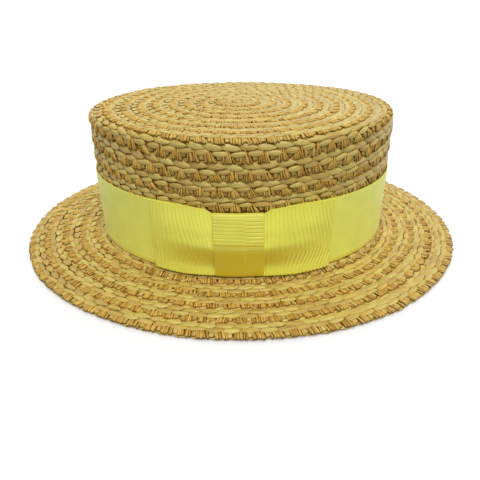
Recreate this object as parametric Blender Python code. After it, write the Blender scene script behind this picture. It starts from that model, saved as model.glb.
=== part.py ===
"""Straw boater hat: flat oval crown, flat brim, wide ribbon band and a flat bow.

Metres, +Z up. The origin is on the surface that the brim rests on, under the middle of
the head opening. The hat is longest along X. The bow faces -Y, the wearer's left, so the
wearer looks along -X.
"""

import math

import bmesh
import bpy

# Head opening, measured inside the crown
HEAD_LENGTH = 0.1984
HEAD_WIDTH = 0.1624

# Sewn straw braid: each row's free edge lies over the hidden edge of the next row
STRAW = 0.0020
ROW_STEP = 0.0008
TIP_ROW = 0.0105
SIDE_ROW = 0.0098
BRIM_ROW = 0.0113

# Crown and brim
CROWN_HEIGHT = 0.0900
TIP_EDGE_ROW = 0.0094
TIP_ROUND = 0.0045
TIP_LIP = 0.0007
LIP_BEVEL = 0.0020
BRIM_WIDTH = 0.0510
FOOT_FLARE = 0.0030
FOOT_RISE = 0.0021

# Ribbon, its band and its bow
RIBBON = 0.0010
RIBBON_WIDTH = 0.0445
BOW_SPAN = 0.1070
BOW_PUFF = 0.0040
KNOT_WIDTH = 0.0281
KNOT_SHIFT = -0.0022
KNOT_TUCK = 0.0006
PLEAT_SHIFT = 0.0033
PLEAT_STEP = 0.0004
PINCH = 0.0018
PINCH_REACH = 0.0210
PINCH_MARGIN = 0.0030

# Free space between pieces that touch on the real hat
GAP = 0.0003

# Facets round the hat, in a rounded edge and in a ribbon's fold
SEGMENTS = 72
ROUND_STEPS = 4
FOLD_STEPS = 6

# Height of the bow's crease, as a share of the ribbon's width from its lower edge
CREASE = 0.50
# The pinch lifts the lower edge by this share of what it takes off the upper edge
PINCH_LOWER = 0.28

# How far a loop's front stands out, in shares of BOW_PUFF, from the knot's middle outward
LOOP_COLUMNS = ("along", "lower", "crease", "upper")
LOOP = (
    (0.00, 0.00, 0.60, 0.00),
    (0.26, 0.02, 0.68, 0.02),
    (0.40, 0.20, 0.75, 0.16),
    (0.65, 0.38, 0.60, 0.30),
    (0.88, 0.42, 0.46, 0.34),
    (1.00, 0.40, 0.40, 0.36),
)
LOOP_STEPS = (0.0, 0.13, 0.25, 0.32, 0.40, 0.52, 0.65, 0.77, 0.88, 0.95)
LOOP_HEIGHTS = (0.0, 0.25, CREASE, 0.75, 1.0)

# Levels and offsets that follow from the sizes; an offset counts out from the head opening
CREST = STRAW + ROW_STEP
TIP_UNDERSIDE = CROWN_HEIGHT - CREST
TIP_RIM = TIP_UNDERSIDE - TIP_LIP
SIDE_TOP = TIP_RIM - GAP
SIDE_BOTTOM = STRAW + GAP
FOOT_SHEET = SIDE_BOTTOM + ROW_STEP
FOOT_TOP = FOOT_SHEET + FOOT_RISE
BRIM_EDGE = CREST + BRIM_WIDTH
BAND_IN = CREST + GAP
BAND_OUT = BAND_IN + RIBBON
BAND_BOTTOM = FOOT_TOP + RIBBON + GAP
LAYER = RIBBON + GAP
BACK_STAND = GAP + RIBBON / 2
FRONT_STAND = BACK_STAND + LAYER
KNOT_STAND = FRONT_STAND + LAYER

FINISHES = {
    "straw": {"color": (0.62, 0.43, 0.15, 1.0), "roughness": 0.55},
    "ribbon": {"color": (0.82, 0.80, 0.14, 1.0), "roughness": 0.60},
}


def clear_scene():
    """Remove everything that the scene starts with."""
    for obj in list(bpy.data.objects):
        bpy.data.objects.remove(obj, do_unlink=True)


def finish(obj, name, kind):
    """Give an object its own material, straw or ribbon, and smooth faces with crisp edges."""
    look = FINISHES[kind]
    material = bpy.data.materials.new(name)
    material.use_nodes = True
    shader = material.node_tree.nodes["Principled BSDF"]
    shader.inputs["Base Color"].default_value = look["color"]
    shader.inputs["Roughness"].default_value = look["roughness"]
    shader.inputs["Metallic"].default_value = 0.0
    material.diffuse_color = look["color"]
    obj.data.materials.append(material)
    obj.data.shade_smooth()
    obj.data.set_sharp_from_angle(angle=math.radians(30))


def add_object(name, bm, kind):
    """Turn a bmesh into a named object of the hat."""
    mesh = bpy.data.meshes.new(name)
    bm.to_mesh(mesh)
    bm.free()
    obj = bpy.data.objects.new(name, mesh)
    bpy.context.scene.collection.objects.link(obj)
    finish(obj, name, kind)
    return obj


def oval(out, angle, z):
    """Point of the oval that lies out metres outside the head opening."""
    x = (HEAD_LENGTH / 2 + out) * math.cos(angle)
    y = (HEAD_WIDTH / 2 + out) * math.sin(angle)
    return (x, y, z)


def front_point(x, out, z):
    """Point over the hat's bow side, at a given x, out metres outside the head opening."""
    share = x / (HEAD_LENGTH / 2 + out)
    y = -(HEAD_WIDTH / 2 + out) * math.sqrt(1 - share * share)
    return (x, y, z)


def oval_body(name, profile, kind, closed=True, level=None):
    """Carry a profile of (out, z) points round the oval.

    A closed profile makes a ring; an open one makes a plate, whose first and last rings
    are filled. level(z, x, y) may turn a profile point's z into another height.
    """
    bm = bmesh.new()
    rings = []
    for out, z in profile:
        ring = []
        for step in range(SEGMENTS):
            x, y, height = oval(out, math.tau * step / SEGMENTS, z)
            if level:
                height = level(height, x, y)
            ring.append(bm.verts.new((x, y, height)))
        rings.append(ring)
    pairs = list(zip(rings, rings[1:]))
    if closed:
        pairs.append((rings[-1], rings[0]))
    else:
        bm.faces.new(rings[0])
        bm.faces.new(rings[-1])
    for low, high in pairs:
        for step in range(SEGMENTS):
            after = (step + 1) % SEGMENTS
            bm.faces.new((low[step], low[after], high[after], high[step]))
    bmesh.ops.recalc_face_normals(bm, faces=bm.faces)
    return add_object(name, bm, kind)


def ribbon_sheet(name, rows):
    """Thicken a grid of points, given as rows across the ribbon, to the ribbon's thickness."""
    bm = bmesh.new()
    grid = [[bm.verts.new(point) for point in row] for row in rows]
    for near, far in zip(grid, grid[1:]):
        for step in range(len(near) - 1):
            bm.faces.new((near[step], near[step + 1], far[step + 1], far[step]))
    obj = add_object(name, bm, "ribbon")
    solid = obj.modifiers.new("Ribbon", "SOLIDIFY")
    solid.thickness = RIBBON
    solid.offset = 0.0
    solid.use_even_offset = True
    return obj


def crown_tip():
    """The crown's flat top: rows of braid round a long oval start, rounded down at the edge."""
    room = HEAD_WIDTH / 2 + CREST - TIP_EDGE_ROW - TIP_ROW / 2
    profile = []
    for row in range(int(room / TIP_ROW), -1, -1):
        edge = CREST - TIP_EDGE_ROW - row * TIP_ROW
        profile.append((edge, CROWN_HEIGHT))
        profile.append((edge, CROWN_HEIGHT - ROW_STEP))
    drop = CROWN_HEIGHT - ROW_STEP / 2 - TIP_RIM
    for step in range(ROUND_STEPS + 1):
        turn = math.pi / 2 * step / ROUND_STEPS
        out = CREST - TIP_ROUND * (1 - math.sin(turn))
        profile.append((out, TIP_RIM + drop * math.cos(turn)))
    profile.append((0.0, TIP_RIM))
    profile.append((-LIP_BEVEL, TIP_UNDERSIDE))
    profile.append((profile[0][0], TIP_UNDERSIDE))
    return oval_body("crown_tip", profile, "straw", closed=False)


def crown_side():
    """The crown's upright wall: rows of braid, and a foot that turns out over the brim."""
    rows = int((SIDE_TOP - FOOT_TOP) / SIDE_ROW)
    profile = [(0.0, SIDE_BOTTOM), (0.0, SIDE_TOP), (STRAW, SIDE_TOP)]
    for row in range(1, rows + 1):
        edge = SIDE_TOP - row * SIDE_ROW
        profile.append((CREST, edge))
        profile.append((STRAW, edge))
    for step in range(ROUND_STEPS + 1):
        turn = math.pi / 2 * step / ROUND_STEPS
        out = CREST + FOOT_FLARE * (1 - math.cos(turn))
        profile.append((out, FOOT_TOP - FOOT_RISE * math.sin(turn)))
    profile.append((CREST + FOOT_FLARE, SIDE_BOTTOM))
    return oval_body("crown_side", profile, "straw")


def brim():
    """The flat brim: the crown stands on its inner edge, and its rows start at that foot."""
    rows = int(BRIM_WIDTH / BRIM_ROW)
    profile = [(0.0, 0.0), (0.0, STRAW), (CREST + FOOT_FLARE, STRAW)]
    for row in range(rows, 0, -1):
        edge = BRIM_EDGE - row * BRIM_ROW
        if edge > CREST + FOOT_FLARE:
            profile.append((edge, CREST))
            profile.append((edge, STRAW))
    profile.append((BRIM_EDGE, CREST))
    profile.append((BRIM_EDGE, 0.0))
    return oval_body("brim", profile, "straw")


def pinch(x):
    """How much of the knot's pinch the ribbon's edges take at x, from 0 to 1."""
    plateau = KNOT_WIDTH / 2 + PINCH_MARGIN
    away = (abs(x - KNOT_SHIFT) - plateau) / PINCH_REACH
    away = min(max(away, 0.0), 1.0)
    return 0.5 + 0.5 * math.cos(math.pi * away)


def ribbon_height(share, x):
    """Height at a share of the ribbon's width from its lower edge, pinched near the knot."""
    squeeze = pinch(x) * PINCH
    lower = BAND_BOTTOM + PINCH_LOWER * squeeze
    upper = BAND_BOTTOM + RIBBON_WIDTH - squeeze
    return lower + share * (upper - lower)


def ribbon_band():
    """The band round the crown, one ribbon wide."""

    def level(share, x, y):
        """Height of a point of the band: the knot pinches the bow's side alone."""
        if y < 0:
            return ribbon_height(share, x)
        return BAND_BOTTOM + share * RIBBON_WIDTH

    profile = [(BAND_IN, 0.0), (BAND_IN, 1.0), (BAND_OUT, 1.0), (BAND_OUT, 0.0)]
    return oval_body("ribbon_band", profile, "ribbon", level=level)


def loop_stand(along, share):
    """How far the middle of a loop's front layer stands off the band."""
    column = {name: place for place, name in enumerate(LOOP_COLUMNS)}
    for near, far in zip(LOOP, LOOP[1:]):
        if along <= far[0]:
            break
    blend = (along - near[0]) / (far[0] - near[0])
    row = [start + blend * (end - start) for start, end in zip(near, far)]
    if share < CREASE:
        edge, rise = row[column["lower"]], share / CREASE
    else:
        edge, rise = row[column["upper"]], (1 - share) / (1 - CREASE)
    puff = edge + rise * (row[column["crease"]] - edge)
    return FRONT_STAND + BOW_PUFF * puff


def bow_loop(name, side):
    """One flat loop of the bow, side -1 to the left and 1 to the right.

    Its front layer leaves the knot, folds back on itself at the bow's end and returns
    against the band.
    """
    start = KNOT_SHIFT + side * GAP / 2
    end = side * BOW_SPAN / 2
    rows = []
    for share in LOOP_HEIGHTS:
        fold = (loop_stand(1.0, share) - BACK_STAND) / 2
        reach = abs(end - start) - RIBBON / 2 - fold
        points = []
        for along in LOOP_STEPS + (1.0,):
            points.append((along * reach, loop_stand(along, share)))
        for step in range(1, FOLD_STEPS):
            turn = math.pi * step / FOLD_STEPS
            points.append((reach + fold * math.sin(turn), BACK_STAND + fold * (1 + math.cos(turn))))
        for along in (1.0,) + LOOP_STEPS[::-1]:
            points.append((along * reach, BACK_STAND))
        row = []
        for distance, stand in points:
            x = start + side * distance
            row.append(front_point(x, BAND_OUT + stand, ribbon_height(share, x)))
        rows.append(row)
    return ribbon_sheet(name, rows)


def bow_knot():
    """The knot: ribbon wrapped over the bow's middle and tucked over both edges of the band."""
    left = KNOT_SHIFT - KNOT_WIDTH / 2
    right = KNOT_SHIFT + KNOT_WIDTH / 2
    pleat = KNOT_SHIFT + PLEAT_SHIFT
    columns = [
        (left, PLEAT_STEP),
        ((left + pleat) / 2, PLEAT_STEP),
        (pleat, PLEAT_STEP),
        (pleat + PLEAT_STEP, 0.0),
        (right, 0.0),
    ]
    wrap = GAP + RIBBON / 2
    tuck = -RIBBON + KNOT_TUCK
    upper = ribbon_height(1.0, KNOT_SHIFT) + wrap
    lower = ribbon_height(0.0, KNOT_SHIFT) - wrap
    crease = ribbon_height(CREASE, KNOT_SHIFT)
    rows = []
    for stand, z, front in (
        (tuck, upper, 0.0),
        (KNOT_STAND, upper, 1.0),
        (KNOT_STAND + BOW_PUFF, crease, 1.0),
        (KNOT_STAND, lower, 1.0),
        (tuck, lower, 0.0),
    ):
        rows.append([front_point(x, BAND_OUT + stand + front * lift, z) for x, lift in columns])
    return ribbon_sheet("bow_knot", rows)


def main():
    """Build the hat."""
    clear_scene()
    crown_tip()
    crown_side()
    brim()
    ribbon_band()
    bow_loop("bow_loop_left", -1)
    bow_loop("bow_loop_right", 1)
    bow_knot()


main()
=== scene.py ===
"""Straw boater hat: sewn braid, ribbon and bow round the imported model, and a plain stage."""

import math

import bmesh
import bpy
import numpy as np
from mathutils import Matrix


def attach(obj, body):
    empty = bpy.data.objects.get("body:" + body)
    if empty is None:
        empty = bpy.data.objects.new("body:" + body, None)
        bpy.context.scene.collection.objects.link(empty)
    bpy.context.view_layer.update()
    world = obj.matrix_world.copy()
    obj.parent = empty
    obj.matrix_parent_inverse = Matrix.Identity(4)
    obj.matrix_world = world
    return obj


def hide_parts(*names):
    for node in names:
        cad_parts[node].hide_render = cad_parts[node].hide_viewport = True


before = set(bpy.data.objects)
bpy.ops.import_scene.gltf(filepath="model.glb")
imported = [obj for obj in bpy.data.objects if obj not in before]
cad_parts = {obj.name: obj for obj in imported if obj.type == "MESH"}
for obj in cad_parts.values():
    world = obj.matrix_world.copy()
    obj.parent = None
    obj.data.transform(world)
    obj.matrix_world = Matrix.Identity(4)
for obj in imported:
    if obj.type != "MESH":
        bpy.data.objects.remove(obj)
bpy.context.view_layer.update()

bl_info = {
    "name": "Straw Boater Hat",
    "version": (1, 0, 0),
    "blender": (4, 5, 0),
    "location": "View3D > Sidebar > Boater",
    "description": "Builds a straw boater hat with its ribbon band and flat bow",
    "category": "Add Mesh",
}

# The hat's outer face in millimetres. A place m on it runs down its meridian: the tip has
# minus the distance in from the crown's edge, then come the round, the wall, foot and brim.
CREST_X = 102.0
CREST_Y = 84.0
TIP_Z = 90.0
ROUND = 4.5
WALL_START = ROUND * (math.pi / 2 - 1)
WALL_ZERO = TIP_Z - ROUND + WALL_START
FOOT_START = 82.87
FOOT_END = 86.90
FOOT_OUT = 3.0
FOOT_DROP = 2.4
BRIM_ZERO = FOOT_END - FOOT_OUT
BRIM_Z = 2.8
SHEET = 2.8

# The braid is one long spiral: turns count from the row whose edge is the crown's lip, the
# band covers some, and the rim has one more chain underneath over its last TURNS_RIM
TURNS_START = -7.75
TURNS_SIDE = 0.35
TURNS_BRIM = 8.75
TURNS_FOOT = 9.0
TURNS_END = 13.65
TURNS_RIM = 1.05
BAND_COVER = (4.95, 8.10)
REPEAT = 9.6

# Where the rows' outer edges lie, as places m at the hat's front, with a small shift by turn
LIP_EDGE = 1.0
TIP_ROW = 10.45
WALL_ROW = 9.83
FOOT_EDGE = 89.5
BRIM_ROW = 11.25
LAST_EDGE = 133.4
LAST_BLEND = (12.45, 12.65)
SHIFT_TURNS = (0.0, 0.5, 1.0, 2.0, 3.0, 4.0, 5.0, 9.0, 10.0, 11.0, 12.0, 13.0)
ROW_SHIFTS = (0.0, 0.6, 1.0, 1.6, 1.2, 0.4, 0.0, 0.0, -0.4, -1.4, -1.1, -0.5)

# How rows leave an even oval: the crown's rows climb by DIP at its two ends, the brim's rows
# widen towards its ends, more so on the left, and the first rows of the tip are a plain coil
DIP = 14.4
DIP_REACH = 55.0
END_WIDER = 1.6
RIGHT_NARROWER = 0.9
WIDER_START = 90.0
WIDER_REACH = 44.0
COIL_START = 30.0
COIL_REACH = 30.0
CENTRE_ROOM = 0.095
TIP_FLAT = -7.0

# Heights of the straw: a row slopes down to its edge, by a slope that changes with the place
# m, the angle at the crown's foot is filled, and the wrong side lies a little deeper; then
# how much wider than a wall row the straw of the tip is laid, and of any row at most
STEP_PLACES = (-10.0, 2.0, 84.0, 92.0)
STEP_SLOPES = (0.085, 0.12, 0.12, 0.09)
FOOT_FILL = 1.7
FOOT_FILL_PLACE = 86.0
FOOT_FILL_REACH = 3.2
WRONG_DROP = 0.55
WRONG_SLOPE = 0.04
ROW_DEPTH = 12.5
TIP_WIDER = 1.03
MOST_WIDER = 1.15

# How much one straw differs from the next, at a liveliness of 1: length and width in shares,
# and in mm along the braid, inward and up; then how far a whole row wanders
LENGTH_VARIES = 0.06
WIDTH_VARIES = 0.07
ALONG_VARIES = 0.28
INWARD_VARIES = 0.22
HEIGHT_VARIES = 0.07
ROW_SWAY = 0.35

# Painted shade in the hollows: straw keeps its colour at one height and is painted fully dark
# this much below it, but the brim's very edge gets less of this painted shade
UNSHADED_HEIGHT = 0.15
SHADED_BELOW = 1.1
RIM_START = 131.5
RIM_UNSHADED = 0.5

# A tuft: its splints, their spacing and how that grows with the fan, how far in it starts, its
# height and how round it is across, and its lean and turn in degrees
TUFT_SPLINTS = 6
TUFT_PITCH = 1.1
FAN_PITCH = 0.02
TUFT_START = -0.8
TUFT_HEIGHT = 0.03
TUFT_ROUND = 0.04
TUFT_LEAN = 80.0
TUFT_LEAN_VARIES = 8.0
TUFT_TWIST = 4.0

# The braid's make, by stretch: its lowest leaf, its fine splint, how far a tuft fans out in
# degrees a splint, the range of its straws' tones, and how much painted shade its lower
# straws are spared
TIP_BRAID = ("broad", "comb", 0.0, (0.15, 0.9), 0.12)
SIDE_BRAID = ("lower", "tuft", 5.0, (0.0, 0.7), 0.0)
BRIM_BRAID = ("broad", "comb", 0.0, (0.0, 0.68), 0.08)

# The backing, dark brown as painted shade in the gaps between straws: its upper and lower
# lift, its sides, and its places m
BACKING_LIFTS = (-1.35, -1.7)
BACKING_SIDES = 144
BACKING_JOIN = 3.5
TIP_BACKING = (-40.0, -20.0, -ROUND, -2.5, -0.6, 1.2, WALL_START, BACKING_JOIN)
SIDE_BACKING = (BACKING_JOIN, 20.0, 40.0, 60.0, 80.0, 83.6, 84.9, FOOT_END)
BRIM_BACKING = (FOOT_END, 100.0, 120.0, 132.2)

# The straw's finishes, as they are numbered in each piece, and the colours that aren't
# settings; a dark colour is painted shade, which straw that lies deep is multiplied by
LEAF_FINISH = 0
TUFT_FINISH = 1
BACKING_FINISH = 2
WHITE = (1.0, 1.0, 1.0, 1.0)
LEAF_PAINTED_SHADE = (0.42, 0.22, 0.05)
TUFT_WARM = (0.58, 0.34, 0.045)
TUFT_PAINTED_SHADE = (0.40, 0.18, 0.04)
# Painted shade: the backing's dark brown stands in for the shade in the gaps between straws
BACKING_PAINTED_SHADE = (0.34, 0.17, 0.03)
BACKING_PAINTED_SHADE_WARM = (0.30, 0.14, 0.02)

# The ribbon in millimetres: its place on the crown and the bow's folds. How far along a loop
# its front ends and its turn takes, the crease, and the corner cuts are shares.
RIBBON = 0.45
BAND_MIDDLE = 0.8
BAND_FACE = 1.1
BAND_BOTTOM = 6.5
RIBBON_WIDTH = 44.5
BOW_SPAN = 107.0
BAND_LENGTH = 591.0
BAND_GRID = (1920, 14)
BAND_TEETH = 480
LOOP_LENGTH = 110.0
LOOP_GRID = (420, 36)
LOOP_MIDDLE = 0.40
LOOP_FRONT = 0.47
LOOP_TURN = 0.06
LOOP_START = 0.15
LOOP_RAISED = 0.35
BACK_STAND = 0.4
FRONT_STAND = 1.1
BOW_PUFF = 5.2
KNOT_STAND = 2.2
KNOT_PUFF = 4.6
KNOT_CREASE = 0.57
KNOT_WIDTH = 28.1
KNOT_CLOTH = 28.0
KNOT_GRID = (200, 72)
KNOT_SHIFT = -2.2
KNOT_OVER = 0.6
KNOT_UNDER = 0.4
KNOT_IN = -0.4
KNOT_LEAN = (0.6, 0.9)
CORNER_CUT = 0.12
PLEAT_SHIFT = 3.3
PLEAT_LEAN = 1.1
PLEAT_STEP = 0.4
PLEAT_BLEND = 0.4
PINCH = 1.8
PINCH_LOWER = 0.28
PINCH_REACH = 21.0
PINCH_MARGIN = 3.0
TUCK = 2.6
TUCK_UNDER = 0.6
TUCK_REACH = 6.0

# Ribs of the bow, in the mesh: height on the left and right loop and on the knot, pitch, and
# where they fade in and out, as a share and a reach; left of the pleat they are lower
LOOP_RIB = (0.20, 0.66)
LOOP_RIB_PITCH = 2.25
LOOP_RIB_START = (0.22, 0.08)
KNOT_RIB = 0.23
KNOT_RIB_PITCH = 2.02
KNOT_RIB_START = (0.01, 0.05)
KNOT_RIB_END = (0.998 - KNOT_CREASE, 0.02)
KNOT_RIB_LOWER = 0.4
KNOT_RIB_SHIFT = 0.45

# How a loop's ribs bend towards the knot at half height: by how much, from x, over a reach
LEFT_BEND = (5.5, -50.0, 24.0)
RIGHT_BEND = (4.5, 14.0, 26.0)

# The fine ribs of the cloth: their strength, in the bump and in the painted shade of their
# grooves, and the teeth where they end at its edges
RIB_STRENGTH = 0.25
TOOTH = 0.22
TOOTH_PITCH = 1.2
TOOTH_START = 0.46
TOOTH_REACH = 0.04

# Painted shade: cloth is coloured golden where its normal points down, for the shade and the
# straw's bounce light there, from this far and over this reach, but not on the ribbon's thin
# lower rim, whose normal points further down than RIM_DOWN
DOWN_SHADE_START = 0.03
DOWN_SHADE_REACH = 0.24
RIM_DOWN = -0.6

# Colours of the ribbon's pieces, from its own: the band's is painted fresher, painted light that
# offsets the straw's golden bounce, the knot's is painted darker, painted shade, and the loops'
# painted golden shade where they face down has this much of the plain colour
BAND_PAINTED_LIGHT = (1.0, 1.05, 1.3)
KNOT_PAINTED_SHADE = (0.88, 0.85, 0.80)
LOOP_PLAIN = 0.4

# The stage: the camera, the light from above, and the side that the sky is brightest on
FLOOR_SIZE = 600.0
CAMERA_PLACE = (0.0, -0.2960, 0.1539)
CAMERA_TURN = (63.6, 0.0, -0.3)
CAMERA_LENS = 32.03
CAMERA_SHIFT = (-0.0042, -0.0615)
LIGHT_TURN = (31.0, 0.0, 7.0)
LIGHT_SPREAD = 44.0
SKY_SIDE = (0.22, 0.82, 0.25)
SKY_REACH = 0.75

# How far a loop's front stands out, in shares of BOW_PUFF: a row per place up the ribbon,
# with one value per place along the loop from the knot's middle to its fold
LOOP_ALONG = (0.00, 0.26, 0.40, 0.65, 0.88, 1.00)
LOOP_UP = (0.00, 0.14, 0.50, 0.68, 1.00)
LOOP_STANDS = (
    (0.05, 0.14, 0.24, 0.28, 0.20, 0.14),
    (0.05, 0.12, 0.18, 0.24, 0.18, 0.12),
    (0.60, 0.84, 0.88, 0.70, 0.40, 0.20),
    (0.40, 0.52, 0.66, 0.60, 0.36, 0.16),
    (0.00, 0.00, 0.02, 0.06, 0.08, 0.08),
)


def ease(share):
    """Smooth step from 0 to 1."""
    share = np.clip(share, 0.0, 1.0)
    return share * share * (3.0 - 2.0 * share)


def profile(m):
    """Distance out from the crest oval, height, and outward slope of the outer face at m."""
    turn = np.clip((m + ROUND) / ROUND, 0.0, math.pi / 2)
    foot = np.clip((m - FOOT_START) / (FOOT_END - FOOT_START), 0.0, 1.0) * math.pi / 2
    places = [m < -ROUND, m < WALL_START, m < FOOT_START, m < FOOT_END]
    round_out = ROUND * (np.sin(turn) - 1)
    round_z = TIP_Z - ROUND * (1 - np.cos(turn))
    foot_out = FOOT_OUT * (1 - np.cos(foot))
    foot_z = BRIM_Z + FOOT_DROP * (1 - np.sin(foot))
    out = np.select(places, [m, round_out, 0 * m, foot_out], m - BRIM_ZERO)
    z = np.select(places, [0 * m + TIP_Z, round_z, WALL_ZERO - m, foot_z], BRIM_Z)
    slope_out = np.select(places, [0 * m, np.sin(turn), 0 * m + 1, np.cos(foot)], 0.0)
    slope_up = np.select(places, [0 * m + 1, np.cos(turn), 0 * m, np.sin(foot)], 1.0)
    return out, z, slope_out, slope_up


def face_point(m, angle, lift):
    """Point of the outer face at m and an oval angle, raised by lift along its normal."""
    out, z, slope_out, slope_up = profile(m)
    long = CREST_X + out
    wide = CREST_Y + out
    normal_x = np.cos(angle) / long
    normal_y = np.sin(angle) / wide
    size = np.hypot(normal_x, normal_y)
    x = long * np.cos(angle) + lift * slope_out * normal_x / size
    y = wide * np.sin(angle) + lift * slope_out * normal_y / size
    return np.stack([x, y, z + lift * slope_up], axis=-1)


def turn_angle(turns):
    """Oval angle of the spiral, which starts at the front and winds clockwise from above."""
    return -math.pi / 2 - math.tau * turns


def front_edge(turns):
    """Place m of a row's outer edge, as it would be at the hat's front."""
    tip = LIP_EDGE + TIP_ROW * turns
    wall = LIP_EDGE + WALL_ROW * turns
    brim = FOOT_EDGE + BRIM_ROW * (turns - TURNS_FOOT)
    edge = np.where(turns < 0, tip, np.where(turns < TURNS_FOOT, wall, brim))
    edge = edge + np.interp(turns, SHIFT_TURNS, ROW_SHIFTS)
    last = ease((turns - LAST_BLEND[0]) / (LAST_BLEND[1] - LAST_BLEND[0]))
    return edge + last * (LAST_EDGE - edge)


def row_edge(turns):
    """Place m of a row's outer edge, with its climb or widening towards the hat's two ends."""
    edge = front_edge(turns)
    dip = DIP * np.clip(1 - np.maximum(edge, 0) / DIP_REACH, 0, 1)
    along = np.cos(turn_angle(turns))
    wider = (END_WIDER - RIGHT_NARROWER * along) * ease((edge - WIDER_START) / WIDER_REACH)
    return edge + (wider - dip) * along**2


def edge_point(turns):
    """Point on the outer face under a row's edge; the tip's first rows are a plain oval coil."""
    angle = turn_angle(turns)
    point = face_point(row_edge(turns), angle, 0.0 * turns)
    edge = front_edge(turns)
    coil_x = (CREST_X - DIP + edge) * np.cos(angle)
    coil_y = (CREST_Y + edge) * np.sin(angle)
    coil = np.stack([coil_x, coil_y, 0 * turns + TIP_Z], axis=-1)
    share = ease((-edge - COIL_START) / COIL_REACH)[..., None]
    return point + share * (coil - point)


TURNS_TABLE = np.linspace(TURNS_START - 0.1, TURNS_END + 0.1, 8000)
EDGE_TABLE = edge_point(TURNS_TABLE)
STEP_TABLE = np.linalg.norm(np.diff(EDGE_TABLE, axis=0), axis=1)
LENGTH_TABLE = np.concatenate([[0.0], np.cumsum(STEP_TABLE)])
RUN_TABLE = np.gradient(EDGE_TABLE, LENGTH_TABLE, axis=0)


def braid_point(along, inward, lift, flat):
    """Point of the braid: along its length, inward from its outer edge, raised by lift.

    Rows that lie flat on the tip are measured square to their edge, and others down the
    hat's own face.
    """
    turns = np.interp(along, LENGTH_TABLE, TURNS_TABLE)
    on_face = face_point(row_edge(turns) - inward, turn_angle(turns), lift)
    edge = np.stack([np.interp(along, LENGTH_TABLE, EDGE_TABLE[:, axis]) for axis in range(3)], axis=-1)
    run = np.stack([np.interp(along, LENGTH_TABLE, RUN_TABLE[:, axis]) for axis in range(2)], axis=-1)
    run /= np.linalg.norm(run, axis=-1, keepdims=True)
    room = np.clip(CENTRE_ROOM * (CREST_Y + front_edge(turns)), 0.05, 1.0)
    on_tip = edge.copy()
    on_tip[..., 0] += inward * room * run[..., 1]
    on_tip[..., 1] -= inward * room * run[..., 0]
    on_tip[..., 2] = TIP_Z + lift
    return np.where(flat[..., None], on_tip, on_face)


def draw_out(name, sides, stations):
    """Model a straw splint along X: a ring of sides is drawn out from station to station.

    A station is its place along X, half width, half height and lift. Returns the points
    and the faces, and leaves nothing in the scene. Extrude lists the faces in an order that
    changes from run to run, so they are sorted.
    """
    bpy.ops.object.select_all(action="DESELECT")
    bpy.ops.mesh.primitive_circle_add(vertices=sides, radius=1.0, fill_type="NGON")
    obj = bpy.context.object
    obj.name = name
    bpy.ops.object.mode_set(mode="EDIT")
    bpy.ops.mesh.select_all(action="SELECT")
    bpy.ops.transform.rotate(value=math.pi / 2, orient_axis="Y", center_override=(0, 0, 0))
    if sides % 2:
        bpy.ops.transform.rotate(value=math.pi / 2, orient_axis="X", center_override=(0, 0, 0))
    x, wide, high, lift = stations[0]
    bpy.ops.transform.resize(value=(1, wide, high), center_override=(0, 0, 0))
    bpy.ops.transform.translate(value=(x, 0, lift))
    for after in stations[1:]:
        step = (after[0] - x, 0, after[3] - lift)
        bpy.ops.mesh.extrude_region_move(TRANSFORM_OT_translate={"value": step})
        bpy.ops.transform.resize(
            value=(1, after[1] / wide, after[2] / high), center_override=(after[0], 0, after[3])
        )
        x, wide, high, lift = after
    bpy.ops.mesh.select_all(action="SELECT")
    bpy.ops.mesh.normals_make_consistent(inside=False)
    bpy.ops.object.mode_set(mode="OBJECT")
    points = np.array([vertex.co[:] for vertex in obj.data.vertices])
    faces = sorted(tuple(polygon.vertices) for polygon in obj.data.polygons)
    mesh = obj.data
    bpy.data.objects.remove(obj)
    bpy.data.meshes.remove(mesh)
    return points, faces


def leaf(name, length, width, thickness, outline):
    """A flat straw leaf; its outline gives half widths and thicknesses along it, in shares."""
    stations = [(x * length, w * width / 2, h * thickness / 2, 0.0) for x, w, h in outline]
    return draw_out(name, 5, stations)


class Pile:
    """Straw gathered for one piece: its points, faces, and what its finish reads."""

    def __init__(self):
        self.points = []
        self.faces = []
        self.fibre = []
        self.tone = []
        self.depth = []
        self.finish = []
        self.count = 0

    def add(self, points, faces, fibre, tone, depth, finish):
        """Add points (in mm), their faces, and per point the fibre place, tone and depth."""
        self.points.append(points)
        self.faces.extend(faces)
        self.fibre.append(fibre)
        self.tone.append(tone)
        self.depth.append(depth)
        self.finish.append(np.full(len(faces), finish, dtype=np.int32))
        self.count += len(points)

    def piece(self, name, materials):
        """Turn the pile into one mesh object, in metres."""
        mesh = bpy.data.meshes.new(name)
        points = np.concatenate(self.points) * 0.001
        mesh.from_pydata(points.tolist(), [], self.faces)
        mesh.polygons.foreach_set("material_index", np.concatenate(self.finish))
        mesh.polygons.foreach_set("use_smooth", np.ones(len(mesh.polygons), dtype=bool))
        corner = np.empty(len(mesh.loops), dtype=np.int32)
        mesh.loops.foreach_get("vertex_index", corner)
        fibre = np.concatenate(self.fibre)[corner]
        mesh.uv_layers.new(name="fibre").data.foreach_set("uv", fibre.astype(np.float32).ravel())
        for label, values in (("tone", self.tone), ("depth", self.depth)):
            attribute = mesh.attributes.new(label, "FLOAT", "POINT")
            attribute.data.foreach_set("value", np.concatenate(values).astype(np.float32))
        for material in materials:
            mesh.materials.append(material)
        mesh.update()
        obj = bpy.data.objects.new(name, mesh)
        bpy.context.scene.collection.objects.link(obj)
        return obj


def sway(along, size):
    """Slow wander of the rows, in mm, the same each run."""
    slow = 0.5 * np.sin(along / 41.0)
    middle = 0.3 * np.sin(along / 17.3 + 1.0)
    quick = 0.2 * np.sin(along / 9.1 + 2.0)
    return size * (slow + middle + quick)


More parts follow.
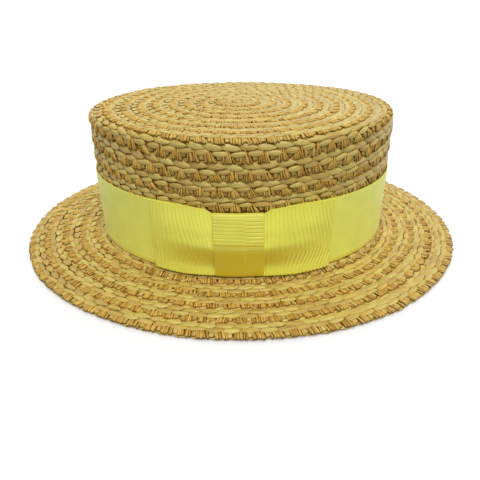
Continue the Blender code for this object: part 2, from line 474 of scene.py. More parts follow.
def lay(
    pile, template, starts, widen, place, spread, seed, finish,
    side=1, twist=3.5, tones=(0.0, 1.0), unshaded=0.0,
):
    """Lay one straw per braid repeat, each its own copy with a little difference.

    place is (u, v, lift, slant, tilt): from the repeat's start, inward from the row's edge,
    height, turn in degrees and rise towards its right end. side is -1 for the wrong side,
    twist is how far the turn varies in degrees, tones is the range of the straws' tones, and
    the last argument takes away some of the painted shade that straw lying deep is given.
    """
    points, faces = template
    chance = np.random.default_rng(seed)
    count = len(starts)
    size = len(points)
    u, v, lift, slant, tilt = place

    def vary(amount):
        """One small difference per copy."""
        return chance.normal(0.0, 1.0, count).clip(-2, 2)[:, None] * amount * spread

    x = points[None, :, 0] * (1 + vary(LENGTH_VARIES))
    y = points[None, :, 1] * (1 + vary(WIDTH_VARIES))
    turn = np.radians(np.reshape(slant, (-1, 1)) + vary(twist))
    along = u + x * np.cos(turn) - y * np.sin(turn) + vary(ALONG_VARIES)
    inward = (v + x * np.sin(turn) + y * np.cos(turn) + vary(INWARD_VARIES)) * widen[:, None]
    rise = points[None, :, 2] + lift - tilt * x + vary(HEIGHT_VARIES)
    length = starts[:, None] + along
    place_m = row_edge(np.interp(length, LENGTH_TABLE, TURNS_TABLE)) - inward
    # Painted shade: straw is darkened the lower it lies, and less at the brim's very edge
    shade_spared = RIM_UNSHADED * (place_m > RIM_START)
    depth = np.clip(1.0 + unshaded + (rise - UNSHADED_HEIGHT) / SHADED_BELOW + shade_spared, 0, 1)
    if side > 0:
        step = np.interp(place_m, STEP_PLACES, STEP_SLOPES) * inward
        fill = FOOT_FILL * np.exp(-(((place_m - FOOT_FILL_PLACE) / FOOT_FILL_REACH) ** 2))
        height = rise - step + fill
    else:
        height = -SHEET - (rise - WRONG_DROP - WRONG_SLOPE * (ROW_DEPTH - inward))
    first_edge = row_edge(np.interp(starts, LENGTH_TABLE, TURNS_TABLE))
    flat = np.broadcast_to(first_edge[:, None] < TIP_FLAT, length.shape)
    world = braid_point(length, inward + sway(length, ROW_SWAY), height, flat)
    turned = [face[::-1] for face in faces] if side > 0 else faces
    base = pile.count
    laid = [tuple(base + copy * size + index for index in face) for copy in range(count) for face in turned]
    fibre = np.empty((count, size, 2))
    fibre[..., 0] = points[None, :, 0] + chance.uniform(0, 400, count)[:, None]
    fibre[..., 1] = points[None, :, 1] + chance.uniform(0, 90, count)[:, None]
    tone = np.broadcast_to(chance.uniform(tones[0], tones[1], count)[:, None], (count, size))
    pile.add(world.reshape(-1, 3), laid, fibre.reshape(-1, 2), tone.ravel(), depth.ravel(), finish)


def repeats(stretches):
    """Starts of the braid's repeats on stretches of the spiral, and how wide its row is there.

    A stretch is its first and last turn.
    """
    starts = []
    for stretch in stretches:
        low, high = np.interp(stretch, TURNS_TABLE, LENGTH_TABLE)
        starts.append(REPEAT * np.arange(math.ceil(low / REPEAT), math.ceil(high / REPEAT)))
    starts = np.concatenate(starts)
    turns = np.interp(starts, LENGTH_TABLE, TURNS_TABLE)
    width = row_edge(turns) - row_edge(turns - 1)
    widen = np.where(turns < 0, TIP_WIDER, np.clip(width / WALL_ROW, 1.0, MOST_WIDER))
    return starts, widen


def lay_right_side(pile, straws, stretches, seed, spread, braid):
    """Lay the braid's right side: chains of leaves, a fold, and a tuft of splints per repeat."""
    starts, widen = repeats(stretches)
    half = REPEAT / 2
    lower, fine, fan, tones, unshaded = braid
    # Each chain's last value is how much painted shade its straws are spared
    chains = (
        ("chain", (half, 10.7, -0.30, -4, 0.06), 0.0),
        ("upper", (0.0, 7.7, -0.06, 6, 0.10), unshaded / 2),
        (lower, (half, 4.4, -0.02, -3, 0.04), unshaded / 2),
        ("fold", (half + 0.3, 0.0, -0.45, 82, 0.0), unshaded),
    )
    for number, (kind, place, shade_spared) in enumerate(chains):
        lay(
            pile, straws[kind], starts, widen, place, spread, seed + number, LEAF_FINISH,
            tones=tones, unshaded=shade_spared,
        )
    chance = np.random.default_rng(seed + 20)
    lean = chance.normal(TUFT_LEAN, TUFT_LEAN_VARIES * spread, len(starts))
    tuft_seed = seed + len(chains)
    for number in range(TUFT_SPLINTS):
        step = number - (TUFT_SPLINTS - 1) / 2
        along = step * (TUFT_PITCH + FAN_PITCH * fan)
        place = (along, TUFT_START, TUFT_HEIGHT - TUFT_ROUND * step**2, lean + step * fan, 0.0)
        lay(
            pile, straws[fine], starts, widen, place, spread, tuft_seed + number, TUFT_FINISH,
            twist=TUFT_TWIST, tones=tones, unshaded=unshaded,
        )


def lay_wrong_side(pile, straws, stretches, seed, spread, places):
    """Lay a chain of leaves at each place, on the side inside the hat or under the brim.

    A place is what lay takes: (u, v, lift, slant, tilt).
    """
    starts, widen = repeats(stretches)
    for number, place in enumerate(places):
        lay(pile, straws["inner"], starts, widen, place, spread, seed + number, LEAF_FINISH, side=-1)


def backing(pile, places, plate=False):
    """Add the backing under the braid over these places m, its dark brown painted shade for the
    gaps; a plate is closed in its middle.
    """
    bm = bmesh.new()
    angles = np.linspace(0, math.tau, BACKING_SIDES + 1)[:-1]
    rings = []
    for lift, run in zip(BACKING_LIFTS, (places, places[::-1])):
        for m in run:
            ring = face_point(np.full(len(angles), float(m)), angles, np.full(len(angles), lift))
            rings.append([bm.verts.new(point) for point in ring.tolist()])
    pairs = list(zip(rings, rings[1:]))
    if plate:
        bm.faces.new(rings[0])
        bm.faces.new(rings[-1])
    else:
        pairs.append((rings[-1], rings[0]))
    for near, far in pairs:
        for step in range(len(angles)):
            after = (step + 1) % len(angles)
            bm.faces.new((near[step], near[after], far[after], far[step]))
    bmesh.ops.recalc_face_normals(bm, faces=bm.faces)
    bm.verts.index_update()
    points = np.array([vertex.co[:] for vertex in bm.verts])
    base = pile.count
    faces = [tuple(vertex.index + base for vertex in face.verts) for face in bm.faces]
    bm.free()
    count = len(points)
    pile.add(points, faces, points[:, :2], np.full(count, 0.5), np.zeros(count), BACKING_FINISH)


def nodes_of(material):
    """Clear a material's nodes and return its tree and its shader, linked to the output."""
    material.use_nodes = True
    tree = material.node_tree
    tree.nodes.clear()
    shader = tree.nodes.new("ShaderNodeBsdfPrincipled")
    output = tree.nodes.new("ShaderNodeOutputMaterial")
    tree.links.new(shader.outputs["BSDF"], output.inputs["Surface"])
    return tree, shader


def node(tree, kind, inputs=None, **settings):
    """Add a node, set its options, and fill or link its inputs."""
    made = tree.nodes.new(kind)
    for key, value in settings.items():
        setattr(made, key, value)
    for key, value in (inputs or {}).items():
        if isinstance(value, bpy.types.NodeSocket):
            tree.links.new(value, made.inputs[key])
        else:
            made.inputs[key].default_value = value
    return made


def ramp(tree, value, stops):
    """Add a colour ramp with these (place, colour) stops."""
    made = node(tree, "ShaderNodeValToRGB", {"Fac": value})
    elements = made.color_ramp.elements
    while len(elements) > 1:
        elements.remove(elements[-1])
    elements[0].position, elements[0].color = stops[0]
    for place, colour in stops[1:]:
        elements.new(place).color = colour
    return made.outputs["Color"]


def mix(tree, kind, factor, first, second):
    """Mix two colours, links or plain ones, by a blend of this kind."""
    colours = {"Factor": factor, 6: first, 7: second}
    return node(tree, "ShaderNodeMix", colours, data_type="RGBA", blend_type=kind).outputs[2]


def noise(tree, place, scale, detail, roughness):
    """Add a noise pattern and return its value."""
    inputs = {"Vector": place, "Scale": scale, "Detail": detail, "Roughness": roughness}
    return node(tree, "ShaderNodeTexNoise", inputs).outputs["Fac"]


def shade(colour, factor=1.0):
    """A colour made lighter or darker."""
    return (colour[0] * factor, colour[1] * factor, colour[2] * factor, 1.0)


def straw_material(name, colour, warm, rough, dark):
    """Straw: each splint has its own tone, fine fibres along it, and painted shade where it lies deep."""
    material = bpy.data.materials.new(name)
    tree, shader = nodes_of(material)
    tone = node(tree, "ShaderNodeAttribute", attribute_name="tone").outputs["Fac"]
    depth = node(tree, "ShaderNodeAttribute", attribute_name="depth").outputs["Fac"]
    fibre = node(tree, "ShaderNodeUVMap", uv_map="fibre").outputs["UV"]
    long = node(tree, "ShaderNodeMapping", {"Vector": fibre, "Scale": (0.06, 1.6, 1.0)}).outputs["Vector"]
    streaks = noise(tree, long, 1.0, 4.0, 0.65)
    ripe = [(0.0, shade(warm, 0.85)), (0.25, shade(warm))]
    pale = [(0.45, shade(colour, 0.95)), (1.0, shade(colour, 1.10))]
    splint = ramp(tree, tone, ripe + pale)
    streak = ramp(tree, streaks, [(0.32, (0.62, 0.52, 0.36, 1.0)), (0.56, WHITE)])
    unshaded = mix(tree, "MULTIPLY", 1.0, splint, streak)
    # Painted shade: straw that lies deep is multiplied towards the dark colour
    deep = ramp(tree, depth, [(0.35, shade(dark)), (0.92, WHITE)])
    shaded = mix(tree, "MULTIPLY", 1.0, unshaded, deep)
    tree.links.new(shaded, shader.inputs["Base Color"])
    gloss = ramp(tree, streaks, [(0.3, shade((rough + 0.14,) * 3)), (0.7, shade((rough - 0.06,) * 3))])
    tree.links.new(gloss, shader.inputs["Roughness"])
    bump = node(tree, "ShaderNodeBump", {"Height": streaks, "Strength": 0.5, "Distance": 0.0004})
    tree.links.new(bump.outputs["Normal"], shader.inputs["Normal"])
    # Painted shade on the shine: straw that lies deep loses its specular
    shine = ramp(tree, depth, [(0.6, shade((0.0,) * 3)), (1.0, shade((0.65,) * 3))])
    tree.links.new(shine, shader.inputs["Specular IOR Level"])
    return material


def ribbon_material(name, colour, golden, rib):
    """Ribbed ribbon: fine cords, soft threads, and painted shade that turns it golden facing down."""
    material = bpy.data.materials.new(name)
    tree, shader = nodes_of(material)
    cloth = node(tree, "ShaderNodeUVMap", uv_map="cloth").outputs["UV"]
    cords = node(
        tree,
        "ShaderNodeTexWave",
        {"Vector": cloth, "Scale": math.tau / (20.0 * rib), "Distortion": 0.0},
        wave_type="BANDS",
        bands_direction="X",
        wave_profile="SIN",
    ).outputs["Fac"]
    threads = noise(tree, cloth, 3.0, 2.0, 0.5)
    cloudy = noise(tree, cloth, 0.09, 2.0, 0.5)
    plain = ramp(tree, cloudy, [(0.3, shade(colour, 0.95)), (0.7, shade(colour, 1.03))])
    # Painted shade: where the cloth faces down its colour is mixed towards the golden one
    turned = node(tree, "ShaderNodeAttribute", attribute_name="turned").outputs["Fac"]
    down_shaded = mix(tree, "MIX", turned, plain, shade(golden))
    grain = ramp(tree, threads, [(0.3, (0.95, 0.94, 0.90, 1.0)), (0.7, WHITE)])
    woven = mix(tree, "MULTIPLY", 1.0, down_shaded, grain)
    # Painted shade: the colour is darkened in the cords' grooves
    painted_groove_shade = ramp(tree, cords, [(0.0, (0.90, 0.88, 0.80, 1.0)), (0.45, WHITE)])
    ribbed = mix(tree, "MULTIPLY", RIB_STRENGTH, woven, painted_groove_shade)
    tree.links.new(ribbed, shader.inputs["Base Color"])
    low = node(tree, "ShaderNodeBump", {"Height": threads, "Strength": 0.12, "Distance": 0.0002})
    relief = {"Height": cords, "Strength": 0.5 * RIB_STRENGTH, "Distance": 0.0005}
    bump = node(tree, "ShaderNodeBump", {**relief, "Normal": low.outputs["Normal"]})
    tree.links.new(bump.outputs["Normal"], shader.inputs["Normal"])
    shader.inputs["Roughness"].default_value = 0.52
    shader.inputs["Sheen Weight"].default_value = 0.15
    shader.inputs["Sheen Roughness"].default_value = 0.4
    return material


def front_point(x, out, z):
    """Point over the bow's side of the crown, out mm outside the crest oval, in metres."""
    y = -(CREST_Y + out) * np.sqrt(1 - (x / (CREST_X + out)) ** 2)
    return np.stack([x, y, z], axis=-1) * 0.001


def pinch(x):
    """How much of the knot's pinch the ribbon's edges take at x, from 0 to 1."""
    away = np.clip((np.abs(x - KNOT_SHIFT) - KNOT_WIDTH / 2 - PINCH_MARGIN) / PINCH_REACH, 0, 1)
    return 0.5 + 0.5 * np.cos(math.pi * away)


def ribbon_height(share, x):
    """Height at a share of the ribbon's width from its lower edge, pinched near the knot."""
    squeeze = pinch(x) * PINCH
    lower = BAND_BOTTOM + PINCH_LOWER * squeeze
    away = np.abs(x - KNOT_SHIFT) - KNOT_WIDTH / 2 + TUCK_UNDER
    tuck = TUCK * (1 - ease(away / TUCK_REACH))
    return lower + share * (BAND_BOTTOM + RIBBON_WIDTH - squeeze - tuck - lower)


def tooth(phase, share):
    """Height of the small teeth where the ribs end at the ribbon's two edges."""
    return TOOTH * np.sin(phase) * ease((np.abs(share - 0.5) - TOOTH_START) / TOOTH_REACH)


def through(along, places, values):
    """Smooth curve through a table's values."""
    slopes = np.gradient(np.array(values), np.array(places))
    index = np.clip(np.searchsorted(places, along, side="right") - 1, 0, len(places) - 2)
    near = np.array(places)[index]
    step = np.array(places)[index + 1] - near
    t = (along - near) / step
    first = np.array(values)[index]
    second = np.array(values)[index + 1]
    return (
        (2 * t**3 - 3 * t**2 + 1) * first
        + (t**3 - 2 * t**2 + t) * step * slopes[index]
        + (3 * t**2 - 2 * t**3) * second
        + (t**3 - t**2) * step * slopes[index + 1]
    )


def ribbon_strip(name, grid, length, width, place, material):
    """Lay a flat grid as a strip of ribbon: place(along, share) gives its points in metres."""
    columns, rows = grid
    bpy.ops.object.select_all(action="DESELECT")
    bpy.ops.mesh.primitive_grid_add(x_subdivisions=columns, y_subdivisions=rows, size=1.0)
    obj = bpy.context.object
    obj.name = name
    obj.data.name = name
    mesh = obj.data
    flat = np.array([vertex.co[:2] for vertex in mesh.vertices]) + 0.5
    corner = np.empty(len(mesh.loops), dtype=np.int32)
    mesh.loops.foreach_get("vertex_index", corner)
    mesh.uv_layers[0].name = "cloth"
    cloth = (flat * np.array([length, width]))[corner]
    mesh.uv_layers[0].data.foreach_set("uv", cloth.astype(np.float32).ravel())
    mesh.vertices.foreach_set("co", place(flat[:, 0], flat[:, 1]).astype(np.float32).ravel())
    mesh.materials.append(material)
    mesh.update()
    bpy.ops.object.mode_set(mode="EDIT")
    bpy.ops.mesh.select_all(action="SELECT")
    bpy.ops.mesh.remove_doubles(threshold=0.00001)
    bpy.ops.mesh.normals_make_consistent(inside=False)
    bpy.ops.object.mode_set(mode="OBJECT")
    solid = obj.modifiers.new("Ribbon", "SOLIDIFY")
    solid.thickness = RIBBON * 0.001
    solid.offset = 0.0
    bpy.ops.object.modifier_apply(modifier=solid.name)
    bpy.ops.object.shade_smooth_by_angle(angle=math.radians(40))
    # Painted shade: how far each point faces down, which colours the cloth golden there
    down = np.array([vertex.normal.z for vertex in mesh.vertices])
    turned = ease((-down - DOWN_SHADE_START) / DOWN_SHADE_REACH) * (down > RIM_DOWN)
    attribute = mesh.attributes.new("turned", "FLOAT", "POINT")
    attribute.data.foreach_set("value", turned.astype(np.float32))
    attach(obj, "root")
    return obj


class BoaterBraid(bpy.types.PropertyGroup):
    """Colours and liveliness of the straw."""

    leaf_colour: bpy.props.FloatVectorProperty(
        name="Leaf colour",
        description="Colour of the wide pale straws",
        subtype="COLOR",
        default=(0.69, 0.54, 0.135),
    )
    warm_colour: bpy.props.FloatVectorProperty(
        name="Warm colour",
        description="Colour of the riper straws",
        subtype="COLOR",
        default=(0.64, 0.45, 0.10),
    )
    tuft_colour: bpy.props.FloatVectorProperty(
        name="Tuft colour",
        description="Colour of the fine splints",
        subtype="COLOR",
        default=(0.74, 0.50, 0.095),
    )
    spread: bpy.props.FloatProperty(
        name="Liveliness",
        description="How much one straw differs from the next",
        default=1.0,
        min=0.0,
        max=2.0,
    )


class BoaterRibbon(bpy.types.PropertyGroup):
    """Colour and ribs of the ribbon."""

    colour: bpy.props.FloatVectorProperty(
        name="Ribbon colour",
        description="Colour of the band and bow",
        subtype="COLOR",
        default=(0.90, 0.885, 0.125),
    )
    # Painted shade: the colour the ribbon is given where it faces down
    golden: bpy.props.FloatVectorProperty(
        name="Golden side",
        description="Colour of the ribbon where it faces down",
        subtype="COLOR",
        default=(0.82, 0.63, 0.022),
    )
    rib: bpy.props.FloatProperty(
        name="Rib pitch",
        description="Distance between the cloth's fine ribs, in mm",
        default=1.2,
        min=0.25,
        max=2.5,
    )


class BoaterStage(bpy.types.PropertyGroup):
    """Light of the stage."""

    key: bpy.props.FloatProperty(
        name="Top light",
        description="Strength of the light from above",
        default=2.40,
    )
    sky: bpy.props.FloatProperty(
        name="Dome",
        description="Strength of the light from the back and above",
        default=1.0,
    )
    front: bpy.props.FloatProperty(
        name="Front",
        description="Light from the front, as a share of the light from the back",
        default=0.25,
    )


class BOATER_OT_stage(bpy.types.Operator):
    """Set the floor, the lights and the camera"""

    bl_idname = "boater.stage"
    bl_label = "Stage"

    def execute(self, context):
        look = context.scene.boater_stage
        self.floor()
        self.sky(context.scene, look)
        sun = bpy.data.lights.new("top_light", "SUN")
        sun.energy = look.key
        sun.angle = math.radians(LIGHT_SPREAD)
        top = bpy.data.objects.new("top_light", sun)
        top.rotation_euler = [math.radians(turn) for turn in LIGHT_TURN]
        context.scene.collection.objects.link(top)
        camera = bpy.data.cameras.new("camera")
        camera.lens = CAMERA_LENS
        camera.sensor_width = 36.0
        camera.shift_x, camera.shift_y = CAMERA_SHIFT
        eye = bpy.data.objects.new("camera", camera)
        eye.location = CAMERA_PLACE
        eye.rotation_mode = "ZXY"
        eye.rotation_euler = [math.radians(turn) for turn in CAMERA_TURN]
        context.scene.collection.objects.link(eye)
        context.scene.camera = eye
        context.scene.view_settings.view_transform = "Standard"
        return {"FINISHED"}

    def floor(self):
        """The plain white floor, which sends no light back up and casts no shade."""
        bpy.ops.object.select_all(action="DESELECT")
        bpy.ops.mesh.primitive_plane_add(size=FLOOR_SIZE, location=(0, 0, -0.0002))
        floor = bpy.context.object
        floor.name = "floor"
        paint = bpy.data.materials.new("floor_white")
        shader = nodes_of(paint)[1]
        shader.inputs["Base Color"].default_value = (0.95, 0.95, 0.95, 1.0)
        shader.inputs["Roughness"].default_value = 1.0
        shader.inputs["Specular IOR Level"].default_value = 0.0
        floor.data.materials.append(paint)
        floor.visible_diffuse = False
        floor.visible_shadow = False

    def sky(self, scene, look):
        """The soft white dome, brightest at the back and above."""
        world = bpy.data.worlds.new("studio")
        scene.world = world
        world.use_nodes = True
        tree = world.node_tree
        background = tree.nodes["Background"]
        direction = node(tree, "ShaderNodeTexCoord").outputs["Generated"]
        sides = {0: direction, 1: SKY_SIDE}
        facing = node(tree, "ShaderNodeVectorMath", sides, operation="DOT_PRODUCT").outputs["Value"]
        dome = ramp(tree, facing, [(0.0, shade((look.front,) * 3)), (SKY_REACH, WHITE)])
        tree.links.new(dome, background.inputs["Color"])
        background.inputs["Strength"].default_value = look.sky


def straw_finishes(look):
    """The three finishes of the straw: leaves, tufts and the backing, painted dark as shade."""
    found = [bpy.data.materials.get(name) for name in ("straw_leaf", "straw_tuft", "straw_backing_painted_shade")]
    if all(found):
        return found
    return [
        straw_material("straw_leaf", look.leaf_colour, look.warm_colour, 0.38, LEAF_PAINTED_SHADE),
        straw_material("straw_tuft", look.tuft_colour, TUFT_WARM, 0.42, TUFT_PAINTED_SHADE),
        straw_material("straw_backing_painted_shade", BACKING_PAINTED_SHADE, BACKING_PAINTED_SHADE_WARM, 0.70, WHITE),
    ]


def straw_shapes():
    """Model each kind of straw once.

    A splint's sections give the place along it, half width, half height and lift, in mm, and
    a leaf's give the place along it, width and thickness, in shares.
    """
    tuft = (
        (0.20, 0.40, 0.24, -1.20),
        (0.20, 0.54, 0.40, -0.60),
        (1.00, 0.60, 0.48, -0.08),
        (3.40, 0.58, 0.50, 0.26),
        (6.80, 0.36, 0.34, -0.30),
    )
    comb = (
        (0.20, 0.46, 0.22, -1.20),
        (0.20, 0.62, 0.30, -0.60),
        (1.00, 0.68, 0.34, -0.06),
        (3.40, 0.66, 0.36, 0.18),
        (6.80, 0.44, 0.26, -0.20),
    )
    fold = (
        (0.40, 0.90, 0.24, -1.20),
        (0.40, 1.40, 0.38, -0.60),
        (1.20, 1.60, 0.46, -0.05),
        (3.00, 1.60, 0.46, 0.08),
        (5.60, 1.30, 0.36, 0.00),
    )
    scale = (
        (-0.50, 0.10, 0.25),
        (-0.36, 0.52, 0.70),
        (-0.14, 0.90, 1.00),
        (0.12, 1.00, 1.00),
        (0.36, 0.92, 0.80),
        (0.50, 0.62, 0.40),
    )
    spindle = (
        (-0.50, 0.14, 0.30),
        (-0.36, 0.70, 0.80),
        (-0.13, 1.00, 1.00),
        (0.13, 1.00, 1.00),
        (0.36, 0.70, 0.80),
        (0.50, 0.14, 0.30),
    )
    return {
        "chain": leaf("chain", 12.0, 5.0, 1.6, scale),
        "upper": leaf("upper", 12.4, 5.2, 1.6, scale),
        "lower": leaf("lower", 8.8, 3.8, 1.5, spindle),
        "broad": leaf("broad", 10.6, 4.1, 1.5, spindle),
        "fold": draw_out("fold", 5, fold),
        "inner": leaf("inner", 12.0, 5.0, 0.8, spindle),
        "tuft": draw_out("tuft", 4, tuft),
        "comb": draw_out("comb", 4, comb),
    }


class BOATER_OT_crown(bpy.types.Operator):
    """Sew the crown's braid: the tip and the upright side"""

    bl_idname = "boater.crown"
    bl_label = "Crown"

    def execute(self, context):
        look = context.scene.boater_braid
        finishes = straw_finishes(look)
        straws = straw_shapes()
        tip = Pile()
        lay_right_side(tip, straws, [(TURNS_START, TURNS_SIDE)], 11, 0.9 * look.spread, TIP_BRAID)
        backing(tip, TIP_BACKING, plate=True)
        tip = tip.piece("crown_tip_braid", finishes)
        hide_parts("crown_tip")
        side = Pile()
        stretches = [(TURNS_SIDE, BAND_COVER[0]), (BAND_COVER[1], TURNS_BRIM)]
        lay_right_side(side, straws, stretches, 41, look.spread, SIDE_BRAID)
        backing(side, SIDE_BACKING)
        side = side.piece("crown_side_braid", finishes)
        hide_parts("crown_side")
        for obj in (tip, side):
            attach(obj, "root")
        return {"FINISHED"}


class BOATER_OT_brim(bpy.types.Operator):
    """Sew the brim's braid on its upper side"""

    bl_idname = "boater.brim"
    bl_label = "Brim"

    def execute(self, context):
        look = context.scene.boater_braid
        finishes = straw_finishes(look)
        straws = straw_shapes()
        brim = Pile()
        lay_right_side(brim, straws, [(TURNS_BRIM, TURNS_END)], 71, 0.85 * look.spread, BRIM_BRAID)
        backing(brim, BRIM_BACKING)
        brim = brim.piece("brim_braid", finishes)
        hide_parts("brim")
        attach(brim, "root")
        return {"FINISHED"}


class BOATER_OT_inside(bpy.types.Operator):
    """Sew the wrong side of the braid, inside the crown and under the brim"""

    bl_idname = "boater.inside"
    bl_label = "Inside"

    def execute(self, context):
        look = context.scene.boater_braid
        finishes = straw_finishes(look)
        straws = straw_shapes()
        half = REPEAT / 2
        chains = (
            (0.0, 10.4, -0.02, -20, -0.03),
            (half, 6.6, 0.02, 20, 0.03),
            (0.0, 4.0, 0.0, -12, 0.03),
        )
        rim_chain = ((half, 1.9, 0.0, 8, 0.03),)
        inside = Pile()
        lay_wrong_side(inside, straws, [(TURNS_START, TURNS_BRIM)], 101, look.spread, chains)
        under = Pile()
        lay_wrong_side(under, straws, [(TURNS_BRIM, TURNS_END)], 131, look.spread, chains)
        rim = [(TURNS_END - TURNS_RIM, TURNS_END)]
        lay_wrong_side(under, straws, rim, 134, look.spread, rim_chain)
        for name, pile in (("crown_inside_braid", inside), ("brim_under_braid", under)):
            obj = pile.piece(name, finishes)
            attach(obj, "root")
        return {"FINISHED"}


class BOATER_OT_band(bpy.types.Operator):
    """Wrap the ribbon band round the crown"""

    bl_idname = "boater.band"
    bl_label = "Band"

    def execute(self, context):
        look = context.scene.boater_ribbon
        # Painted light: the band's copy of the ribbon colour is made fresher
        band_lit = [plain * more for plain, more in zip(look.colour, BAND_PAINTED_LIGHT)]
        material = ribbon_material("ribbon_band_cloth", band_lit, look.golden, look.rib)

        def place(along, share):
            """The band's points, once round from its seam under the bow."""
            angle = -math.pi / 2 - math.tau * along
            x = (CREST_X + BAND_MIDDLE) * np.cos(angle)
            y = (CREST_Y + BAND_MIDDLE) * np.sin(angle)
            front = ribbon_height(share, x)
            plain = BAND_BOTTOM + share * RIBBON_WIDTH
            z = np.where(y < 0, front, plain) + tooth(along * math.tau * BAND_TEETH, share)
            return np.stack([x, y, z], axis=-1) * 0.001

        band = ribbon_strip("band_ribbon", BAND_GRID, BAND_LENGTH, RIBBON_WIDTH, place, material)
        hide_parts("ribbon_band")
        return {"FINISHED"}


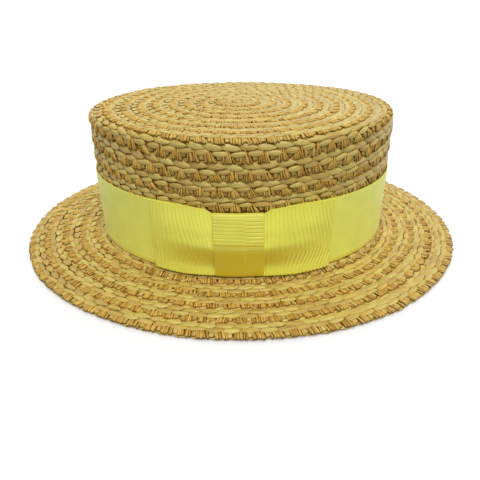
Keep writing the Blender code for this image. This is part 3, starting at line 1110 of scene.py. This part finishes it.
class BOATER_OT_bow(bpy.types.Operator):
    """Fold the bow's two flat loops and wrap its knot"""

    bl_idname = "boater.bow"
    bl_label = "Bow"

    def execute(self, context):
        look = context.scene.boater_ribbon
        colours = list(zip(look.colour, look.golden))
        # Painted shade: the loops' colour where they face down, part golden and part plain
        soft = [LOOP_PLAIN * plain + (1 - LOOP_PLAIN) * gold for plain, gold in colours]
        material = ribbon_material("ribbon_bow_cloth", look.colour, soft, look.rib)
        for name, side, cad, flat in (
            ("loop_ribbon_left", -1, "bow_loop_left", (0.106, 0.0445)),
            ("loop_ribbon_right", 1, "bow_loop_right", (0.115, 0.0445)),
        ):
            loop = self.loop(name, side, material)
            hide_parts(cad)
        # Painted shade: the knot's copy of the ribbon colour is made darker
        knot_shaded = [plain * less for plain, less in zip(look.colour, KNOT_PAINTED_SHADE)]
        knot = self.knot(ribbon_material("ribbon_knot_cloth", knot_shaded, look.golden, look.rib))
        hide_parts("bow_knot")
        return {"FINISHED"}

    def stand(self, reach, share):
        """How far a loop's front layer stands off the band, in its middle."""
        levels = np.stack([through(reach, LOOP_ALONG, row) for row in LOOP_STANDS])
        index = np.clip(np.searchsorted(LOOP_UP, share, side="right") - 1, 0, len(LOOP_UP) - 2)
        low = np.array(LOOP_UP)[index]
        blend = (share - low) / (np.array(LOOP_UP)[index + 1] - low)
        column = np.arange(levels.shape[1])
        near = levels[index, column]
        far = levels[index + 1, column]
        return FRONT_STAND + BOW_PUFF * (near + (far - near) * (0.5 * blend + 0.5 * ease(blend)))

    def loop(self, name, side, material):
        """One loop: out from the knot, folded back on itself, and in again behind."""
        start = KNOT_SHIFT + side * LOOP_START
        end = side * BOW_SPAN / 2
        turned = LOOP_FRONT + LOOP_TURN
        rib = LOOP_RIB[side > 0]
        rib_start, rib_reach = LOOP_RIB_START
        bend, bend_start, bend_reach = RIGHT_BEND if side > 0 else LEFT_BEND

        def place(along, share):
            """The loop's points, from the front layer through the fold to the back one."""
            fold = (self.stand(np.ones_like(share), share) - BACK_STAND) / 2
            reach = abs(end - start) - RIBBON / 2 - fold
            ahead = np.clip(along / LOOP_FRONT, 0, 1)
            around = np.clip((along - LOOP_FRONT) / LOOP_TURN, 0, 1) * math.pi
            back = np.clip((along - turned) / (1 - turned), 0, 1)
            in_front = along <= LOOP_FRONT
            behind = along > turned
            distance = np.where(in_front, ahead * reach, reach + fold * np.sin(around))
            distance = np.where(behind, (1 - back) * reach, distance)
            off = np.where(in_front, self.stand(ahead, share), BACK_STAND + fold * (1 + np.cos(around)))
            off = np.where(behind, BACK_STAND, off)
            x = start + side * distance
            hump = ease((1 - share) / (1 - LOOP_MIDDLE)) * ease(share / LOOP_MIDDLE)
            phase = math.tau * (x - bend * ease((x - bend_start) / bend_reach) * hump) / LOOP_RIB_PITCH
            cord = rib * (1 - (0.5 + 0.5 * np.cos(phase)) ** 3) * ease((ahead - rib_start) / rib_reach)
            off = off + np.where(in_front, cord, 0)
            lifted = LOOP_RAISED * ease(share / LOOP_MIDDLE)
            raised = np.where(along <= LOOP_FRONT + LOOP_TURN / 2, lifted, 0)
            height = ribbon_height(share, x) + tooth(math.tau * x / TOOTH_PITCH, share) + raised
            return front_point(x, BAND_FACE + off, height)

        return ribbon_strip(name, LOOP_GRID, LOOP_LENGTH, RIBBON_WIDTH, place, material)

    def knot(self, material):
        """The knot: ribbon over the bow's middle, tucked in over both edges of the band."""
        upper = ribbon_height(1.0, KNOT_SHIFT) + KNOT_OVER
        lower = ribbon_height(0.0, KNOT_SHIFT) - KNOT_UNDER
        crease = ribbon_height(KNOT_CREASE, KNOT_SHIFT)
        path = np.array(
            [
                (KNOT_IN, upper),
                (KNOT_STAND, upper),
                (KNOT_STAND + KNOT_PUFF, crease),
                (KNOT_STAND, lower),
                (KNOT_IN, lower),
            ]
        )
        for _ in range(3):
            near = path[:-1] * (1 - CORNER_CUT) + path[1:] * CORNER_CUT
            far = path[:-1] * CORNER_CUT + path[1:] * (1 - CORNER_CUT)
            inner = np.stack([near, far], axis=1).reshape(-1, 2)[1:-1]
            path = np.concatenate([path[:1], inner, path[-1:]])
        gaps = np.linalg.norm(np.diff(path, axis=0), axis=1)
        places = np.concatenate([[0], np.cumsum(gaps)])
        total = places[-1]

        def place(along, share):
            """The knot's points; along runs down it and share across it."""
            distance = along * total
            stand = np.interp(distance, places, path[:, 0])
            z = np.interp(distance, places, path[:, 1])
            down = (upper - z) / (upper - lower)
            left = KNOT_SHIFT - KNOT_WIDTH / 2 + KNOT_LEAN[0] * down
            right = KNOT_SHIFT + KNOT_WIDTH / 2 + KNOT_LEAN[1] * down
            pleat = KNOT_SHIFT + PLEAT_SHIFT + PLEAT_LEAN * down
            x = left + share * (right - left)
            step = 1 - ease((x - pleat) / PLEAT_BLEND + 0.5)
            begun = ease((down - KNOT_RIB_START[0]) / KNOT_RIB_START[1])
            showing = begun * ease((KNOT_RIB_END[0] - down) / KNOT_RIB_END[1])
            phase = math.tau * (z / KNOT_RIB_PITCH + KNOT_RIB_SHIFT * (1 - step))
            cord = 1 - (0.5 + 0.5 * np.cos(phase)) ** 4
            cord = KNOT_RIB * (1 - KNOT_RIB_LOWER * step) * cord * showing
            return front_point(x, BAND_FACE + stand + step * PLEAT_STEP + cord, z)

        return ribbon_strip("knot_ribbon", KNOT_GRID, total, KNOT_CLOTH, place, material)


class BOATER_PT_panel(bpy.types.Panel):
    """The hat's pieces, in the order in which they are made."""

    bl_label = "Straw Boater Hat"
    bl_idname = "BOATER_PT_panel"
    bl_space_type = "VIEW_3D"
    bl_region_type = "UI"
    bl_category = "Boater"

    def draw(self, context):
        scene = context.scene
        layout = self.layout
        straw = ("leaf_colour", "warm_colour", "tuft_colour", "spread")
        for label, name, settings, fields in (
            ("Stage", "boater.stage", scene.boater_stage, ("key", "sky", "front")),
            ("Crown", "boater.crown", scene.boater_braid, straw),
            ("Brim", "boater.brim", None, ()),
            ("Inside", "boater.inside", None, ()),
            ("Band", "boater.band", scene.boater_ribbon, ("colour", "golden", "rib")),
            ("Bow", "boater.bow", None, ()),
        ):
            layout.operator(name, text=label)
            for field in fields:
                layout.prop(settings, field)


CLASSES = (
    BoaterBraid,
    BoaterRibbon,
    BoaterStage,
    BOATER_OT_stage,
    BOATER_OT_crown,
    BOATER_OT_brim,
    BOATER_OT_inside,
    BOATER_OT_band,
    BOATER_OT_bow,
    BOATER_PT_panel,
)


def register():
    """Add the hat's settings, operators and panel to Blender."""
    for item in CLASSES:
        bpy.utils.register_class(item)
    bpy.types.Scene.boater_braid = bpy.props.PointerProperty(type=BoaterBraid)
    bpy.types.Scene.boater_ribbon = bpy.props.PointerProperty(type=BoaterRibbon)
    bpy.types.Scene.boater_stage = bpy.props.PointerProperty(type=BoaterStage)


def unregister():
    """Take them out again."""
    del bpy.types.Scene.boater_braid
    del bpy.types.Scene.boater_ribbon
    del bpy.types.Scene.boater_stage
    for item in reversed(CLASSES):
        bpy.utils.unregister_class(item)


def main():
    """Build the hat on its stage."""
    register()
    bpy.ops.boater.stage()
    bpy.ops.boater.crown()
    bpy.ops.boater.brim()
    bpy.ops.boater.inside()
    bpy.ops.boater.band()
    bpy.ops.boater.bow()


if __name__ == "__main__":
    main()
